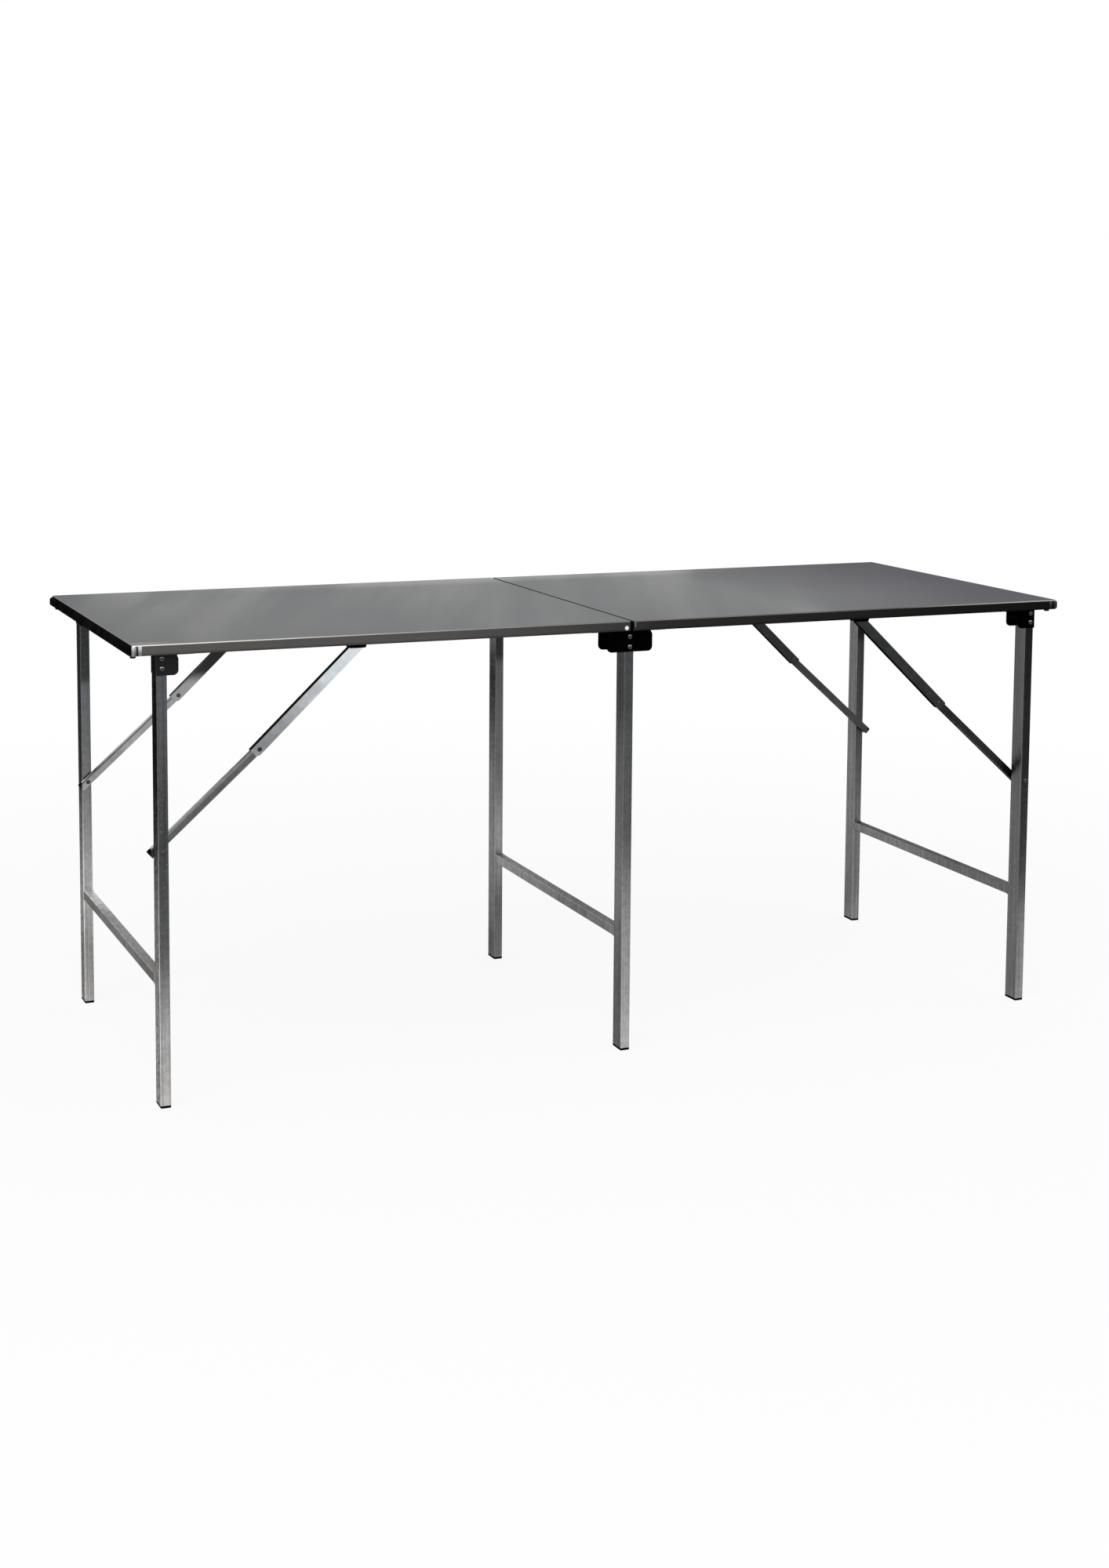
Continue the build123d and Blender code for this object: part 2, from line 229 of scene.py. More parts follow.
# flat face of the top's satin sheet: soft patches, with painted shade that makes it duller towards both ends
flat = {"pale": grey(0.252, -0.02), "dull": grey(0.212, -0.03), "leftPaintedShade": grey(0.84),
        "leftAt": (-1.0, -0.4), "rightPaintedShade": (0.59, 0.56, 0.62, 1), "rightAt": (0.3, 1.0)}


def flatTone(tree, at, drift):
    tone = blend(tree, drift, flat["dull"], flat["pale"])
    # painted shade: a darker, bluish reflection towards the right end, a little darker towards the left end
    right = blend(tree, spread(tree, at.x, flat["rightAt"]), grey(1.0), flat["rightPaintedShade"])
    left = blend(tree, spread(tree, at.x, flat["leftAt"]), flat["leftPaintedShade"], grey(1.0))
    return times(tree, tone, right, left)


# folded rim of the sheet: painted reflection and shade, darker to the right, near-black on the short ends
# and darker along its lower edge where it curls under; lapped at the front corners, with painted highlight
# bands there
rim = {"tones": ((0.0, 0.094), (0.3, 0.082), (0.49, 0.04), (0.52, 0.026), (0.7, 0.016), (1.0, 0.007)),
       "warmth": (0.05, 0.05), "paintedCurlShade": 0.5, "curlAt": (0.0005, 0.0055), "end": grey(0.006),
       "paintedLapLight": ((0.0, 0.6), (0.34, 0.4), (0.46, 0.04), (0.58, 0.05), (0.66, 0.7), (0.88, 0.6), (0.98, 0.1)),
       "lapWidth": 0.02, "lapEdge": (0.97, 1.0), "paintedLapFootShade": 0.3, "lapFootAt": (0.004, 0.017),
       "paintedRightLapShade": 0.1, "rightAt": (-0.5, 0.5)}


def rimTone(tree, at, frontOn, endOn):
    # painted reflection darkening to the right; painted shade along the rim's lower edge, where it curls
    # under
    tone = times(tree, greys(tree, at.along, rim["tones"], rim["warmth"]),
                 spread(tree, at.rise, rim["curlAt"], rim["paintedCurlShade"]))
    # painted highlight bands on the lapped front corners, with painted shade at their foot and on the right
    # half
    inset = sums(tree, "DIVIDE", sums(tree, "SUBTRACT", tableEnd, at.outward), rim["lapWidth"])
    paintedLapLight = times(tree, greys(tree, inset, rim["paintedLapLight"]),
                spread(tree, at.rise, rim["lapFootAt"], rim["paintedLapFootShade"]),
                spread(tree, at.x, rim["rightAt"], 1.0, rim["paintedRightLapShade"]))
    lapped = both(tree, frontOn, spread(tree, inset, rim["lapEdge"], 1.0, 0.0))
    # the short ends painted near-black, as shade
    return blend(tree, endOn, blend(tree, lapped, tone, paintedLapLight), rim["end"])


# bends of the sheet: painted highlights, bright where they catch the light, fading to the right, paler along
# the back, near-black on the short ends as painted shade
fold = {"tones": ((0.0, 0.9), (0.1, 0.75), (0.25, 0.4), (0.4, 0.22), (0.5, 0.16), (0.8, 0.07), (0.84, 0.18),
                  (0.9, 0.34), (1.0, 0.42)),
        "warmth": (0.04, 0.04), "back": grey(0.5), "backAt": (-0.1, 0.1), "end": grey(0.02), "share": 0.85}


def paintedFoldHighlight(tree, at, endOn):
    # painted highlight along the bends
    tone = greys(tree, at.along, fold["tones"], fold["warmth"])
    tone = blend(tree, spread(tree, at.ny, fold["backAt"]), tone, fold["back"])
    return blend(tree, endOn, tone, fold["end"])


# round corners of the sheet, pleated: a painted highlight on the left half, painted shade on the right half,
# the pleats painted as light and dark bands
corner = {"left": grey(0.87, 0.01), "right": grey(0.012, 0.01), "rightAt": (-0.0005, 0.0005),
          "pleats": 12.0, "pleatShade": 0.45, "foot": 0.35, "footAt": (0.006, 0.017),
          "seam": grey(0.03), "seamAt": (0.01, 0.02), "turnedAt": (0.14, 0.5), "levelAt": (0.5, 0.95)}


def paintedCornerLight(tree, at):
    heading = sums(tree, "ARCTAN2", at.ny, at.nx)
    pleat = sums(tree, "COSINE", sums(tree, "MULTIPLY", heading, corner["pleats"]))
    # painted highlight on the left half, painted shade on the right half
    tone = blend(tree, spread(tree, at.x, corner["rightAt"]), corner["left"], corner["right"])
    # pleats painted as light and dark bands, with painted shade at the corners' foot
    tone = times(tree, tone, spread(tree, pleat, (-1.0, 1.0), corner["pleatShade"]),
                 spread(tree, at.rise, corner["footAt"], corner["foot"]))
    # painted shade on the corners next to the seam
    return blend(tree, spread(tree, at.outward, corner["seamAt"]), corner["seam"], tone)


# painted light on the front rim at the seam: a painted highlight spot, given by its middle and half its
# size, painted shade in the gap and a painted highlight line beside it
seam = {"paintedSpotHighlight": grey(0.87, 0.01), "spotX": (-0.0122, 0.005), "spotRise": (0.0062, 0.0052),
        "spotEdge": (0.3, 1.0), "paintedGapShade": grey(0.006), "gapAt": (0.0038, 0.0052), "paintedLineHighlight": grey(0.16),
        "lineFrom": (0.0048, 0.0058), "lineTo": (0.0085, 0.007), "lineFoot": (0.006, 0.010)}


def seamPaintedLight(tree, at, frontOn, tone):
    across, up = (sums(tree, "DIVIDE", sums(tree, "SUBTRACT", value, middle), size)
                  for value, (middle, size) in ((at.x, seam["spotX"]), (at.rise, seam["spotRise"])))
    offSpot = sums(tree, "MULTIPLY_ADD", across, across, sums(tree, "MULTIPLY", up, up))
    paintedSpotHighlight = spread(tree, offSpot, seam["spotEdge"], 1.0, 0.0)
    paintedGapShade = spread(tree, at.outward, seam["gapAt"], 1.0, 0.0)
    paintedLineHighlight = both(tree, spread(tree, at.x, seam["lineFrom"]), spread(tree, at.x, seam["lineTo"]),
                spread(tree, at.rise, seam["lineFoot"]))
    # painted highlight spot, painted shade in the gap, painted highlight line
    for name, mask in (("paintedSpotHighlight", paintedSpotHighlight), ("paintedGapShade", paintedGapShade), ("paintedLineHighlight", paintedLineHighlight)):
        tone = blend(tree, both(tree, mask, frontOn), tone, seam[name])
    return tone


# gloss of the sheet: slanting bands, shinier along the back edge and at the front left corner
gloss = {"rough": ((0.0, 0.32), (0.08, 0.21), (0.7, 0.22), (0.82, 0.39), (1.0, 0.47)),
         "bandTurn": (0, 0, -0.39), "bandShape": (0.2, 2.2, 1.0), "bandRough": 0.15, "grainRough": 0.06,
         "back": 0.15, "backY": (0.27, 0.37), "backX": (0.25, 0.8),
         "corner": 0.2, "cornerX": (-0.9, -0.97), "cornerY": (-0.34, -0.37)}


def sheetRoughness(tree, at, drift, lines):
    values = {"Vector": at.place, "Rotation": gloss["bandTurn"], "Scale": gloss["bandShape"]}
    slanted = put(tree, "ShaderNodeMapping", values, vector_type="TEXTURE")
    bands = use(tree, toneDrift, Place=slanted.outputs[0], Size=1.0)
    rough = sums(tree, "MULTIPLY_ADD", bands, gloss["bandRough"], greys(tree, at.along, gloss["rough"]))
    shine = both(tree, spread(tree, at.y, gloss["backY"], 0.0, gloss["back"]),
                 spread(tree, at.outward, gloss["backX"], 1.0, 0.0))
    shine = sums(tree, "MULTIPLY_ADD", spread(tree, at.x, gloss["cornerX"], 0.0, gloss["corner"]),
                 spread(tree, at.y, gloss["cornerY"]), shine)
    rough = sums(tree, "SUBTRACT", rough, shine)
    return sums(tree, "MULTIPLY_ADD", both(tree, drift, lines), gloss["grainRough"], rough)


# satin sheet of the top, put together from the tones above, most of them painted light and shade; its short
# ends and the seam are matt
sheet = {"driftSize": 1.3, "grainStretch": (5, 420, 60), "grainTone": (0.97, 1.03), "grainDent": 0.03,
         "frontAt": (-0.4, -0.7), "endAt": (0.35, 0.75), "seamEdge": (0.0028, 0.0045),
         "levelAt": (0.25, 0.7), "mattAt": (0.1, 0.5), "edgeTint": grey(0.5)}


def satinSheet():
    material, tree, shader, at = startFinish("satinSheet")
    at.along = alongTable(tree, at)
    at.outward = sums(tree, "ABSOLUTE", at.x)
    at.rise = sums(tree, "SUBTRACT", at.z, underTop)
    drift = use(tree, toneDrift, Place=at.place, Size=sheet["driftSize"])
    lines = use(tree, rollGrain, Place=at.place, Stretch=sheet["grainStretch"])
    bends = use(tree, bentEdge, Facing=at.facing)
    frontOn = spread(tree, at.ny, sheet["frontAt"])
    endOn = spread(tree, sums(tree, "ABSOLUTE", at.nx), sheet["endAt"])
    endOn = sums(tree, "MAXIMUM", endOn, spread(tree, at.outward, sheet["seamEdge"], 1.0, 0.0))
    level = spread(tree, sums(tree, "ABSOLUTE", at.nz), sheet["levelAt"])
    slant = sums(tree, "ABSOLUTE", sums(tree, "MULTIPLY", at.nx, at.ny))
    turned = spread(tree, slant, corner["turnedAt"])
    rounded = both(tree, turned, spread(tree, at.nz, corner["levelAt"], 1.0, 0.0))
    tone = blend(tree, level, rimTone(tree, at, frontOn, endOn), flatTone(tree, at, drift))
    tone = blend(tree, both(tree, bends, fold["share"]), tone, paintedFoldHighlight(tree, at, endOn))
    tone = blend(tree, rounded, tone, paintedCornerLight(tree, at))
    tone = seamPaintedLight(tree, at, frontOn, tone)
    matt = both(tree, endOn, spread(tree, turned, sheet["mattAt"], 1.0, 0.0))
    feed(tree, shader["Base Color"], times(tree, tone, vary(tree, lines, sheet["grainTone"])))
    feed(tree, shader["Roughness"], sheetRoughness(tree, at, drift, lines))
    feed(tree, shader["Normal"], dent(tree, lines, sheet["grainDent"]))
    feed(tree, shader["Metallic"], sums(tree, "SUBTRACT", 1.0, matt))
    feed(tree, shader["Specular IOR Level"], 0.0)
    feed(tree, shader["Specular Tint"], sheet["edgeTint"])
    return material


# galvanised tube: drawn lines, crystal mottle, and painted reflection and shade: paler towards the feet,
# darker up the legs, each leg a little different
# heights: painted greys from the floor to a leg's top, with their warmth; rows: painted light factors along
# the table
tube = {"heights": {"front": (((0.0, 0.34), (0.12, 0.27), (0.24, 0.23), (0.34, 0.17), (0.45, 0.115),
                               (0.55, 0.085), (0.8, 0.062), (1.0, 0.045)), (0.02, -0.07)),
                    "leftBar": (((0.0, 0.62), (0.3, 0.44), (0.45, 0.25), (0.6, 0.08), (0.75, 0.03),
                                 (1.0, 0.02)), (0.025, 0.0)),
                    "leftLegs": (((0.0, 0.78), (0.3, 0.68), (0.45, 0.4), (0.6, 0.15), (0.75, 0.11),
                                  (1.0, 0.11)), (0.025, 0.0)),
                    "middleFront": (((0.0, 0.15), (0.3, 0.2), (0.45, 0.24), (0.6, 0.2), (0.8, 0.12),
                                     (1.0, 0.08)), (0.01, -0.01)),
                    "middleBack": (((0.0, 0.15), (0.3, 0.24), (0.5, 0.27), (0.65, 0.115), (0.77, 0.07),
                                    (0.82, 0.09), (0.86, 0.17)), (0.0, -0.02)),
                    "rest": (((0.0, 0.32), (0.3, 0.24), (0.6, 0.18), (1.0, 0.13)), (0.0, 0.0))},
        "rows": {"frontFeet": ((0.0, 1.5), (0.5, 1.28), (1.0, 0.68)),
                 "backFeet": ((0.0, 1.22), (0.5, 0.44), (1.0, 0.68)),
                 "frontTops": ((0.0, 0.64), (0.5, 1.24), (1.0, 0.26)),
                 "backTops": ((0.0, 2.1), (0.5, 1.72), (1.0, 0.68)),
                 "barLeftPaintedLight": ((0.0, 0.5), (0.5, 1.4), (1.0, 1.0))},
        "frontY": (0.2, -0.2), "backY": (-0.2, 0.2), "leftX": (-0.2, -0.6), "middleX": (-0.8, -0.2),
        "rightX": (0.2, 0.8), "topsFrom": (0.12, 0.34), "rightFront": grey(0.15), "rightBack": grey(0.21),
        "frontLeftPaintedHighlight": 3.0, "frontLeftFrom": (0.45, 0.85), "topShade": 0.35, "topShadeFrom": (0.68, 0.715),
        "barTopPaintedLight": ((0.0, 0.4), (0.3, 0.36), (0.5, 0.34), (1.0, 0.16)), "barEndPaintedHighlight": grey(0.95),
        "barEndY": (0.1, 0.32), "barEdge": 0.0005, "leftward": (-0.65, -0.75), "squareOn": (0.65, 0.75),
        "driftSize": 2.6, "driftTone": (0.86, 1.16), "lineStretch": (260, 260, 2.5),
        "lineTone": (0.86, 1.15), "crystalSize": 150.0, "crystalTone": (0.9, 1.1),
        "bendTone": (1.0, 1.15), "dent": 0.12,
        "scuffSize": 320.0, "scuffShare": 0.3, "scuffed": grey(0.45),
        "rough": (0.3, 0.5), "edgeTint": grey(0.3), "leftRough": (0.24, 0.38), "leftTint": grey(0.11)}


# painted reflection and shade by height on a leg
def byHeight(tree, at, name):
    return greys(tree, sums(tree, "DIVIDE", at.z, legTop), *tube["heights"][name])


def byRow(tree, at, name):
    return greys(tree, at.along, tube["rows"][name])


def legFront(tree, at):
    # painted light factors for each leg, at its feet and at its top
    feet = blend(tree, at.back, byRow(tree, at, "frontFeet"), byRow(tree, at, "backFeet"))
    tops = blend(tree, at.back, byRow(tree, at, "frontTops"), byRow(tree, at, "backTops"))
    share = blend(tree, spread(tree, at.z, tube["topsFrom"]), feet, tops)
    # painted highlight high on the front left leg
    paintedHighlight = both(tree, spread(tree, at.x, tube["leftX"]), spread(tree, at.y, tube["frontY"]),
                spread(tree, at.z, tube["frontLeftFrom"]))
    shade = both(tree, at.back, spread(tree, at.z, tube["topShadeFrom"]))      # on the back legs alone
    return times(tree, byHeight(tree, at, "front"), share, vary(tree, paintedHighlight, (1.0, tube["frontLeftPaintedHighlight"])),
                 vary(tree, shade, (1.0, tube["topShade"])))


def legLeft(tree, at, leftName):
    # painted reflection and shade on the legs' left faces, by height and by leg; the right legs' faces
    # painted darker
    middle = blend(tree, at.back, byHeight(tree, at, "middleFront"), byHeight(tree, at, "middleBack"))
    right = blend(tree, at.back, tube["rightFront"], tube["rightBack"])
    tone = blend(tree, spread(tree, at.x, tube["middleX"]), byHeight(tree, at, leftName), middle)
    tone = blend(tree, spread(tree, at.x, tube["rightX"]), tone, right)
    barEnds = (legFace - tube["barEdge"], legFace + tube["barEdge"])
    onBar = spread(tree, sums(tree, "ABSOLUTE", at.y), barEnds, 1.0, 0.0)
    # painted light factor on the crossbars' left faces
    return blend(tree, onBar, tone, times(tree, tone, byRow(tree, at, "barLeftPaintedLight")))


# painted light on the crossbars' tops, with a bright painted highlight at the left bar's back end
def barTopPaintedLight(tree, at):
    leftBackEnd = both(tree, spread(tree, at.y, tube["barEndY"]), spread(tree, at.x, tube["leftX"]))
    return blend(tree, leftBackEnd, greys(tree, at.along, tube["barTopPaintedLight"]), tube["barEndPaintedHighlight"])


def tubeZinc(name, leftName, rough, edgeTint):
    material, tree, shader, at = startFinish(name)
    at.along = alongTable(tree, at)
    at.back = spread(tree, at.y, tube["backY"])
    drift = use(tree, toneDrift, Place=at.place, Size=tube["driftSize"])
    lines = use(tree, rollGrain, Place=at.place, Stretch=tube["lineStretch"])
    crystal = use(tree, spangle, Place=at.place, Size=tube["crystalSize"])
    scuff = use(tree, scuffs, Place=at.place, Size=tube["scuffSize"])
    bends = use(tree, bentEdge, Facing=at.facing)
    leftOn = spread(tree, at.nx, tube["leftward"])
    zinc = blend(tree, leftOn, legFront(tree, at), legLeft(tree, at, leftName))
    rightOrBack = spread(tree, sums(tree, "MAXIMUM", at.nx, at.ny), tube["squareOn"])
    zinc = blend(tree, rightOrBack, zinc, byHeight(tree, at, "rest"))
    zinc = blend(tree, spread(tree, at.nz, tube["squareOn"]), zinc, barTopPaintedLight(tree, at))
    # bent edges painted brighter, a painted highlight
    zinc = times(tree, zinc, vary(tree, drift, tube["driftTone"]), vary(tree, lines, tube["lineTone"]),
                 vary(tree, crystal, tube["crystalTone"]), vary(tree, bends, tube["bendTone"]))
    zinc = blend(tree, both(tree, scuff, tube["scuffShare"]), zinc, tube["scuffed"])
    feed(tree, shader["Base Color"], zinc)
    feed(tree, shader["Roughness"], vary(tree, average(tree, crystal, drift), rough))
    feed(tree, shader["Normal"], dent(tree, sums(tree, "ADD", lines, crystal), tube["dent"]))
    feed(tree, shader["Metallic"], 1.0)
    feed(tree, shader["Specular Tint"], edgeTint)      # the left legs' faces go dark at a flat angle
    return material


# zinc plated channel of the struts: each link's front flange and its web have their own tones, painted
# reflection and shade: pale high on the front left strut, painted shade under the top on the back struts, a
# painted band along each lower link's rolled edge, dark on the right struts, dark upper webs and pale lower
# webs
channel = {"front": {"top": grey(0.78, -0.05), "knuckle": grey(0.32, -0.04), "foot": grey(0.125, -0.01),
                     "fold": grey(0.24, -0.03), "foldAt": (0.003, 0.005)},
           "back": {"top": grey(0.03), "knuckle": grey(0.34, -0.02), "foot": grey(0.32),
                    "fold": grey(0.12), "foldAt": (0.004, 0.0055)},
           "backTopPaintedShadeFrom": (0.68, 0.715), "rightUpper": grey(0.034, -0.03),
           "rightLower": grey(0.024), "rightBackLower": grey(0.05), "upperWeb": grey(0.2),
           "lowerWeb": grey(0.75), "upperTail": 0.014, "tailEdge": 0.0005,
           "tip": grey(0.008), "tipLength": 0.0084, "tipEdge": 0.004, "backY": (-0.1, 0.1),
           "rightX": (-0.3, 0.3), "frontOn": (-0.3, -0.8), "flangeOn": (0.3, 0.8),
           "driftSize": 6.0, "driftTone": (0.85, 1.15), "lineStretch": (60, 320, 60), "lineTone": (0.9, 1.1),
           "scuffSize": 420.0, "scuffShare": (0.2, 0.0), "scuffed": grey(0.45), "rough": (0.24, 0.42),
           "dent": 0.06, "edgeTint": grey(0.1)}


def reach(tree, at, start, direction):
    # how far a place lies from start, measured along direction; both halves of the table alike
    first = sums(tree, "MULTIPLY_ADD", at.outward, direction.x, -direction.dot(start))
    return sums(tree, "MULTIPLY_ADD", at.z, direction.y, first)


def onStrut(tree, at, footPivot, knuckle):
    # a mask of the upper link, and the distance above the lower link's middle line
    run = (knuckle - footPivot).normalized()
    upperEnd = (knuckle - footPivot).length - channel["upperTail"]
    ends = (upperEnd - channel["tailEdge"], upperEnd + channel["tailEdge"])
    upper = spread(tree, reach(tree, at, footPivot, run), ends)
    return upper, reach(tree, at, footPivot, Vector((run.y, -run.x)))


# painted reflection on a flange from the knuckle to the top, with a painted band along the lower link's
# rolled edge
def flangeTone(tree, tones, upper, offLine, high):
    top = blend(tree, high, tones["knuckle"], tones["top"])
    foot = blend(tree, spread(tree, offLine, tones["foldAt"]), tones["foot"], tones["fold"])
    return blend(tree, upper, foot, top)


def zincChannel():
    material, tree, shader, at = startFinish("zincChannel")
    at.outward = sums(tree, "ABSOLUTE", at.x)
    drift = use(tree, toneDrift, Place=at.place, Size=channel["driftSize"])
    lines = use(tree, rollGrain, Place=at.place, Stretch=channel["lineStretch"])
    scuff = use(tree, scuffs, Place=at.place, Size=channel["scuffSize"])
    footPivot, knuckle = (centre("right_front_" + name).xz for name in ("foot_rivet", "knuckle_rivet"))
    upper, offLine = onStrut(tree, at, footPivot, knuckle)
    frontHigh = spread(tree, at.z, (knuckle.y, underTop))
    backHigh = spread(tree, at.z, channel["backTopPaintedShadeFrom"])
    back = spread(tree, at.y, channel["backY"])
    flange = blend(tree, back, flangeTone(tree, channel["front"], upper, offLine, frontHigh),
                   flangeTone(tree, channel["back"], upper, offLine, backHigh))
    # painted shade on the right struts
    right = blend(tree, back, channel["rightLower"], channel["rightBackLower"])
    right = blend(tree, upper, right, channel["rightUpper"])
    rightOn = both(tree, spread(tree, at.x, channel["rightX"]), spread(tree, at.ny, channel["frontOn"]))
    flange = blend(tree, rightOn, flange, right)
    # painted reflection on the webs: dark on the upper links, pale on the lower
    web = blend(tree, upper, channel["lowerWeb"], channel["upperWeb"])
    plated = blend(tree, spread(tree, sums(tree, "ABSOLUTE", at.ny), channel["flangeOn"]), web, flange)
    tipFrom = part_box("right_front_lower_link")[1].x - channel["tipLength"]
    tip = spread(tree, at.outward, (tipFrom, tipFrom + channel["tipEdge"]))
    plated = blend(tree, tip, plated, channel["tip"])
    plated = times(tree, plated, vary(tree, drift, channel["driftTone"]),
                   vary(tree, lines, channel["lineTone"]))
    worn = both(tree, scuff, vary(tree, tip, channel["scuffShare"]))
    feed(tree, shader["Base Color"], blend(tree, worn, plated, channel["scuffed"]))
    feed(tree, shader["Roughness"], vary(tree, average(tree, drift, lines), channel["rough"]))
    feed(tree, shader["Normal"], dent(tree, lines, channel["dent"]))
    feed(tree, shader["Metallic"], 1.0)
    feed(tree, shader["Specular Tint"], channel["edgeTint"])
    return material


# zinc of the rivets and screws: dulled, with a painted highlight where a head turns upwards, dimmer on the
# low rivets, and rubbed bright in worn patches
hardware = {"driftSize": 160.0, "scuffSize": 900.0, "scuffShare": 0.3, "highFrom": (0.74, 0.78),
            "upwardAt": (0.2, 0.5), "rough": (0.3, 0.2), "dent": 0.08, "metal": (1.0, 0.4)}
rivetTones = {"pale": grey(0.06, 0.02), "dull": grey(0.03, 0.02), "highlightAndWear": grey(0.65), "lowHighlightAndWear": grey(0.1)}
screwTones = {"pale": grey(0.3, 0.02), "dull": grey(0.16, 0.03), "highlightAndWear": grey(0.45), "lowHighlightAndWear": grey(0.45)}


def hardwareZinc(name, tones):
    material, tree, shader, at = startFinish(name)
    drift = use(tree, toneDrift, Place=at.place, Size=hardware["driftSize"])
    scuff = use(tree, scuffs, Place=at.place, Size=hardware["scuffSize"])
    # painted highlight on the upward part of each head; scuffs wear to the same bright tone
    highlightAndWear = blend(tree, spread(tree, at.z, hardware["highFrom"]), tones["lowHighlightAndWear"], tones["highlightAndWear"])
    upward = spread(tree, at.nz, hardware["upwardAt"])
    plated = blend(tree, upward, blend(tree, drift, tones["dull"], tones["pale"]), highlightAndWear)
    feed(tree, shader["Base Color"], blend(tree, both(tree, scuff, hardware["scuffShare"]), plated, highlightAndWear))
    feed(tree, shader["Roughness"], vary(tree, drift, hardware["rough"]))
    feed(tree, shader["Normal"], dent(tree, drift, hardware["dent"]))
    feed(tree, shader["Metallic"], vary(tree, upward, hardware["metal"]))
    return material


# black coating of the plates, lugs and cleats: paler on its bent edges as a painted highlight, rubbed in
# worn patches, and painted lighter on the front left leg, as light falling there
coat = {"black": grey(0.0005), "dusty": grey(0.0012), "rubbed": grey(0.008), "frontLeftPaintedLight": grey(0.018),
        "paintedLightX": (-0.6, -0.85), "paintedLightY": (0.0, -0.2), "driftSize": 30.0, "peelSize": 900.0,
        "scuffSize": 500.0, "bendShare": 0.4, "scuffShare": 0.3, "rough": (0.42, 0.55), "dent": 0.12}


def blackCoat():
    material, tree, shader, at = startFinish("blackCoat")
    drift = use(tree, toneDrift, Place=at.place, Size=coat["driftSize"])
    peel = use(tree, toneDrift, Place=at.place, Size=coat["peelSize"])
    scuff = use(tree, scuffs, Place=at.place, Size=coat["scuffSize"])
    bends = use(tree, bentEdge, Facing=at.facing)
    # painted light on the front left leg's coating
    frontLeft = both(tree, spread(tree, at.x, coat["paintedLightX"]), spread(tree, at.y, coat["paintedLightY"]))
    paint = blend(tree, drift, coat["black"], coat["dusty"])
    paint = blend(tree, frontLeft, paint, coat["frontLeftPaintedLight"])
    # bent edges painted paler as a highlight; scuffs rubbed in worn patches
    edges = both(tree, bends, coat["bendShare"])
    edgeHighlightAndWear = sums(tree, "MAXIMUM", edges, both(tree, scuff, coat["scuffShare"]))
    feed(tree, shader["Base Color"], blend(tree, edgeHighlightAndWear, paint, coat["rubbed"]))
    feed(tree, shader["Roughness"], vary(tree, drift, coat["rough"]))
    feed(tree, shader["Normal"], dent(tree, peel, coat["dent"]))
    feed(tree, shader["Specular IOR Level"], 0.0)
    return material


# moulded black of the feet, dusty near the floor, of the nose on the short ends and of the rubber bumpers
plug = {"black": grey(0.0015), "dusty": grey(0.006, 0.05), "driftSize": 60.0, "grainSize": 1500.0,
        "rough": (0.5, 0.65), "dent": 0.2, "specular": 0.0, "floorDust": (0.9, 0.2), "floorAt": (0.0, 0.005)}
trim = {"black": grey(0.003), "dusty": grey(0.008), "driftSize": 18.0, "grainSize": 1200.0,
        "rough": (0.55, 0.7), "dent": 0.15, "specular": 0.0}
pad = {"black": grey(0.008), "dusty": grey(0.022), "driftSize": 120.0, "grainSize": 1100.0,
       "rough": (0.72, 0.86), "dent": 0.25, "specular": 0.25}


def mouldedBlack(name, tones):
    material, tree, shader, at = startFinish(name)
    dust = use(tree, toneDrift, Place=at.place, Size=tones["driftSize"])
    pebble = use(tree, toneDrift, Place=at.place, Size=tones["grainSize"])
    if "floorDust" in tones:
        dust = both(tree, dust, spread(tree, at.z, tones["floorAt"], *tones["floorDust"]))
    feed(tree, shader["Base Color"], blend(tree, dust, tones["black"], tones["dusty"]))
    feed(tree, shader["Roughness"], vary(tree, pebble, tones["rough"]))
    feed(tree, shader["Normal"], dent(tree, pebble, tones["dent"]))
    feed(tree, shader["Specular IOR Level"], tones["specular"])
    return material


# film-faced board under the skin: dark resin film over faint wood grain
board = {"film": grey(0.030, 0.25), "grain": grey(0.052, 0.3), "rubbed": grey(0.12, 0.12), "driftSize": 4.0,
         "grainStretch": (3, 90, 90), "scuffSize": 180.0, "scuffShare": 0.4, "rough": (0.38, 0.5),
         "dent": 0.1, "dentDepth": 0.0003, "specular": 0.35}


def filmBoard():
    material, tree, shader, at = startFinish("filmBoard")
    drift = use(tree, toneDrift, Place=at.place, Size=board["driftSize"])
    lines = use(tree, rollGrain, Place=at.place, Stretch=board["grainStretch"])
    scuff = use(tree, scuffs, Place=at.place, Size=board["scuffSize"])
    wood = blend(tree, both(tree, drift, lines), board["film"], board["grain"])
    wood = blend(tree, both(tree, scuff, board["scuffShare"]), wood, board["rubbed"])
    feed(tree, shader["Base Color"], wood)
    feed(tree, shader["Roughness"], vary(tree, lines, board["rough"]))
    feed(tree, shader["Normal"], dent(tree, lines, board["dent"], board["dentDepth"]))
    feed(tree, shader["Specular IOR Level"], board["specular"])
    return material


galvanised = tubeZinc("galvanisedTube", "leftBar", tube["rough"], tube["edgeTint"])
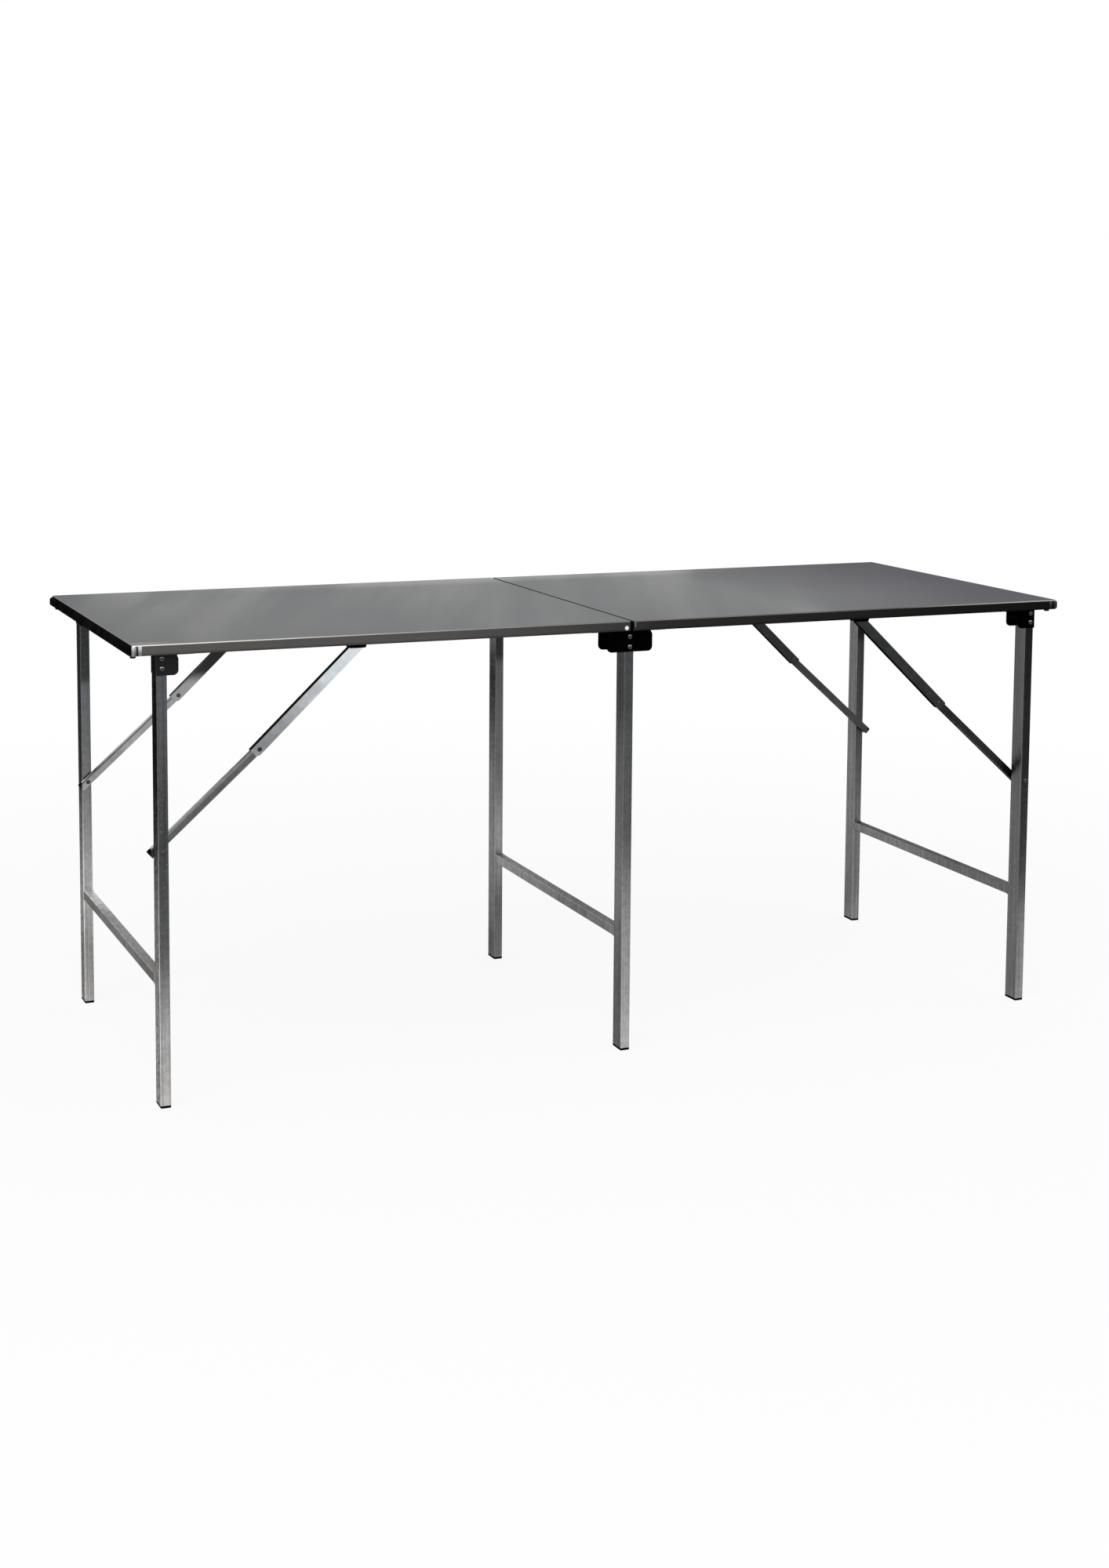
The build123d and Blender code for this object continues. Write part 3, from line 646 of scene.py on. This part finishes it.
# a shaded copy of the tube finish for the left legs: other painted tones on their outer faces and a dark
# edge tint
leftLegsShadedTube = tubeZinc("leftLegsShadedTube", "leftLegs", tube["leftRough"], tube["leftTint"])
trimPlastic = mouldedBlack("trimPlastic", trim)
finishes = {"stainless_sheet": satinSheet(), "galvanised_tube": galvanised, "zinc_channel": zincChannel(),
            "zinc_hardware": hardwareZinc("rivetZinc", rivetTones), "black_steel": blackCoat(),
            "black_plastic": mouldedBlack("footPlastic", plug),
            "black_rubber": mouldedBlack("padRubber", pad), "film_faced_board": filmBoard()}
ownFinishes = {"left_end_trim": trimPlastic, "right_end_trim": trimPlastic,
               "left_front_leg": leftLegsShadedTube, "left_back_leg": leftLegsShadedTube}
for subpart in frame["record"]["subparts"]:
    solid = frame["nodes"][subpart["node"]]
    finish = ownFinishes.get(subpart["node"], finishes[subpart["material_slot"]])
    if not solid.material_slots:
        solid.data.materials.append(None)
    for hold in solid.material_slots:
        hold.material = finish
print("finishes:", ", ".join(finishes))


# grids holds copies x rows x columns x 3 points; columns close on themselves, rows too if ring is set
def surface(name, grids, ring, body, finish):
    copies, rows, columns = grids.shape[:3]
    index = np.arange(copies * rows * columns).reshape(copies, rows, columns)
    if ring:
        index = np.concatenate((index, index[:, :1]), axis=1)
    index = np.concatenate((index, index[:, :, :1]), axis=2)
    quads = np.stack((index[:, :-1, :-1], index[:, :-1, 1:], index[:, 1:, 1:], index[:, 1:, :-1]), axis=-1)
    mesh = bpy.data.meshes.new(name)
    mesh.from_pydata(grids.reshape(-1, 3).tolist(), [], quads.reshape(-1, 4).tolist())
    work = bmesh.new()
    work.from_mesh(mesh)
    bmesh.ops.remove_doubles(work, verts=work.verts, dist=1e-6)
    bmesh.ops.recalc_face_normals(work, faces=work.faces)
    work.to_mesh(mesh)
    work.free()
    mesh.polygons.foreach_set("use_smooth", np.ones(len(mesh.polygons), dtype=bool))
    mesh.materials.append(finish)
    piece = bpy.data.objects.new(name, mesh)
    bpy.context.scene.collection.objects.link(piece)
    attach(piece, body)
    return piece


# weld bead round each end of a crossbar: a circle carried round a squared oval, its radius rippling
weld = {"radius": 0.0013, "ripple": 0.17, "ripples": 46, "squareness": 9.0, "around": 184, "across": 10,
        "offFace": 0.0002, "frames": {"left": "left_legs", "middle": "middle_frame", "right": "right_legs"}}


def weldBeads(crossbar):
    bar = centre(crossbar)
    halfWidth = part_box(crossbar)[1].x - bar.x
    sweep = np.linspace(0, 2 * np.pi, weld["around"], endpoint=False)[:, None]
    turn = np.linspace(0, 2 * np.pi, weld["across"], endpoint=False)[None, :]
    cosine, sine, power = np.cos(sweep), np.sin(sweep), weld["squareness"]
    oval = halfWidth / (np.abs(cosine) ** power + np.abs(sine) ** power) ** (1 / power)
    outX = np.sign(cosine) * np.abs(cosine) ** (power - 1)          # square to the oval
    outZ = np.sign(sine) * np.abs(sine) ** (power - 1)
    span = np.hypot(outX, outZ)
    bead = weld["radius"] * (1 + weld["ripple"] * np.cos(weld["ripples"] * sweep))
    xs = bar.x + oval * cosine + outX / span * bead * np.cos(turn)
    zs = bar.z + oval * sine + outZ / span * bead * np.cos(turn)
    ys = bead * np.sin(turn) * np.ones_like(sweep)
    barEndPaintedHighlight = legFace - weld["offFace"]
    return np.stack([np.stack((xs, ys + y, zs), axis=-1) for y in (-barEndPaintedHighlight, barEndPaintedHighlight)])


for side, bodyName in weld["frames"].items():
    beads = weldBeads(side + "_crossbar")
    surface(bodyName + "_welds", beads, True, bodyName, galvanised)
print("weld beads on", len(weld["frames"]), "leg frames")

# pan head screws under the top: a domed disc on a polar grid, with a cross pressed in
screw = {"radius": 0.004, "height": 0.0022, "domePower": 4, "rings": 26, "around": 48,
         "crossLength": 0.0023, "crossWidth": 0.00055, "crossDepth": 0.0013, "soft": 0.00022,
         "lugPlate": 0.003, "lugOffsets": (0.020, 0.033),
         "cleatPlate": 0.002, "cleatOffsets": (-0.0175, 0.0175)}


def within(places, limit):
    # 1 inside the limit, 0 outside, with a soft edge
    return np.clip(0.5 - (np.abs(places) - limit) / screw["soft"], 0, 1)


def screwHead():
    share = np.linspace(0, 2, screw["rings"])[:, None]
    turn = np.linspace(0, 2 * np.pi, screw["around"], endpoint=False)[None, :]
    out = np.where(share <= 1, share, 2 - share)            # out over the head, back under it
    xs, ys = screw["radius"] * out * np.cos(turn), screw["radius"] * out * np.sin(turn)
    dome = screw["height"] * np.sqrt(1 - out ** screw["domePower"]) * np.ones_like(turn)
    arms = np.maximum(within(xs, screw["crossWidth"]) * within(ys, screw["crossLength"]),
                      within(ys, screw["crossWidth"]) * within(xs, screw["crossLength"]))
    drop = np.where(share <= 1, dome - screw["crossDepth"] * arms, 0)
    return np.stack((xs, ys, -drop), axis=-1)


def screwSeats(side):
    # beside the hinge pins, on the lugs, and either side of the strut tops, on the cleats
    middle = centre(side + "_top_skin").x
    seats = []
    for pin in (pivot(side + "_leg_fold").x, pivot(side + "_half_fold").x):
        inward = math.copysign(1, middle - pin)
        seats += [(pin + inward * offset, y, underTop - screw["lugPlate"])
                  for offset in screw["lugOffsets"] for y in (-legRow, legRow)]
    for strut in (pivot(side + "_front_strut_swing"), pivot(side + "_back_strut_swing")):
        seats += [(strut.x, strut.y + offset, underTop - screw["cleatPlate"])
                  for offset in screw["cleatOffsets"]]
    return np.array(seats)


screwZinc = hardwareZinc("screwZinc", screwTones)
for side in ("left", "right"):
    grids = screwHead()[None] + screwSeats(side)[:, None, None, :]
    heads = surface(side + "_screw_heads", grids, False, side + "_half", screwZinc)
    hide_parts(side + "_top_screws")
print("screw heads on both halves")


def seenRays(tree):
    # 1 for what the camera sees, also in metal or through glass
    path = put(tree, "ShaderNodeLightPath").outputs
    direct = sums(tree, "MAXIMUM", path["Is Camera Ray"], path["Is Glossy Ray"])
    return sums(tree, "MAXIMUM", direct, path["Is Transmission Ray"])


# pale floor that keeps the table's shadow, white further away and clear from below
floor = {"half": 60.0, "pale": grey(0.92), "near": 0.9, "whiteAt": (1.2, 4.0)}


def paleFloor():
    material = bpy.data.materials.new("paleFloor")
    material.use_nodes = True
    tree = material.node_tree
    tree.nodes.clear()
    where = put(tree, "ShaderNodeTexCoord").outputs["Object"]
    away = put(tree, "ShaderNodeVectorMath", {0: where}, operation="LENGTH").outputs["Value"]
    faded = both(tree, seenRays(tree), spread(tree, away, floor["whiteAt"], floor["near"], 1.0))
    matt = put(tree, "ShaderNodeBsdfDiffuse", {"Color": floor["pale"]}).outputs[0]
    white = put(tree, "ShaderNodeEmission", {"Strength": 1.0}).outputs[0]
    above = put(tree, "ShaderNodeMixShader", {0: faded, 1: matt, 2: white}).outputs[0]
    below = put(tree, "ShaderNodeNewGeometry").outputs["Backfacing"]
    clear = put(tree, "ShaderNodeBsdfTransparent").outputs[0]
    mixed = put(tree, "ShaderNodeMixShader", {0: below, 1: above, 2: clear}).outputs[0]
    put(tree, "ShaderNodeOutputMaterial", {0: mixed})
    return material


ground = bpy.data.meshes.new("floor")
square = [(x * floor["half"], y * floor["half"], 0) for x, y in ((-1, -1), (1, -1), (1, 1), (-1, 1))]
ground.from_pydata(square, [], [(0, 1, 2, 3)])
ground.materials.append(paleFloor())
floorPiece = bpy.data.objects.new("floor", ground)
bpy.context.scene.collection.objects.link(floorPiece)

# soft light from all round, white where the camera sees it
room = {"colour": grey(1.0), "light": 0.55, "white": 1.0}
scene = bpy.context.scene
scene.view_settings.view_transform = "Standard"
scene.world = bpy.data.worlds.new("paleRoom")
scene.world.use_nodes = True
tree = scene.world.node_tree
tree.nodes.clear()
soft = put(tree, "ShaderNodeBackground", {"Color": room["colour"], "Strength": room["light"]}).outputs[0]
backdrop = put(tree, "ShaderNodeBackground", {"Color": room["colour"], "Strength": room["white"]}).outputs[0]
mixed = put(tree, "ShaderNodeMixShader", {0: seenRays(tree), 1: soft, 2: backdrop}).outputs[0]
put(tree, "ShaderNodeOutputWorld", {0: mixed})

lamps = {"key": {"from": (-2.4, -2.8, 3.4), "size": 4.6, "power": 90.0},
         "fill": {"from": (3.2, -1.6, 2.8), "size": 4.0, "power": 30.0}}
aim = Vector((0, 0, 0.5))
for name, lamp in lamps.items():
    light = bpy.data.lights.new(name, "AREA")
    light.shape = "SQUARE"
    light.size = lamp["size"]
    light.energy = lamp["power"]
    stand = bpy.data.objects.new(name, light)
    stand.location = lamp["from"]
    stand.rotation_euler = (aim - Vector(lamp["from"])).to_track_quat("-Z", "Y").to_euler()
    stand.visible_camera = False
    scene.collection.objects.link(stand)

# camera at the photograph's place: angles in degrees, focal length and axis row in its pixels
shot = {"eye": (-1.907706, -4.562037, 1.5047), "yaw": 22.62594, "pitch": 6.00264, "roll": -0.41321,
        "focalPixels": 2976.107, "imageHeight": 2000, "axisRow": 700, "sensor": 36.0, "farthest": 200.0}
yaw, pitch, roll = (math.radians(shot[name]) for name in ("yaw", "pitch", "roll"))
ahead = Vector((math.sin(yaw) * math.cos(pitch), math.cos(yaw) * math.cos(pitch), -math.sin(pitch)))
level = Vector((math.cos(yaw), -math.sin(yaw), 0))
plumb = ahead.cross(level)
right = level * math.cos(roll) + plumb * math.sin(roll)
down = plumb * math.cos(roll) - level * math.sin(roll)
camera = bpy.data.cameras.new("camera")
camera.sensor_width = shot["sensor"]
camera.lens = shot["focalPixels"] * shot["sensor"] / shot["imageHeight"]
camera.shift_y = shot["axisRow"] / shot["imageHeight"] - 0.5
camera.clip_end = shot["farthest"]
eye = bpy.data.objects.new("camera", camera)
eye.matrix_world = Matrix.Translation(shot["eye"]) @ Matrix((right, -down, -ahead)).transposed().to_4x4()
scene.collection.objects.link(eye)
scene.camera = eye
print("floor, lamps and camera set")
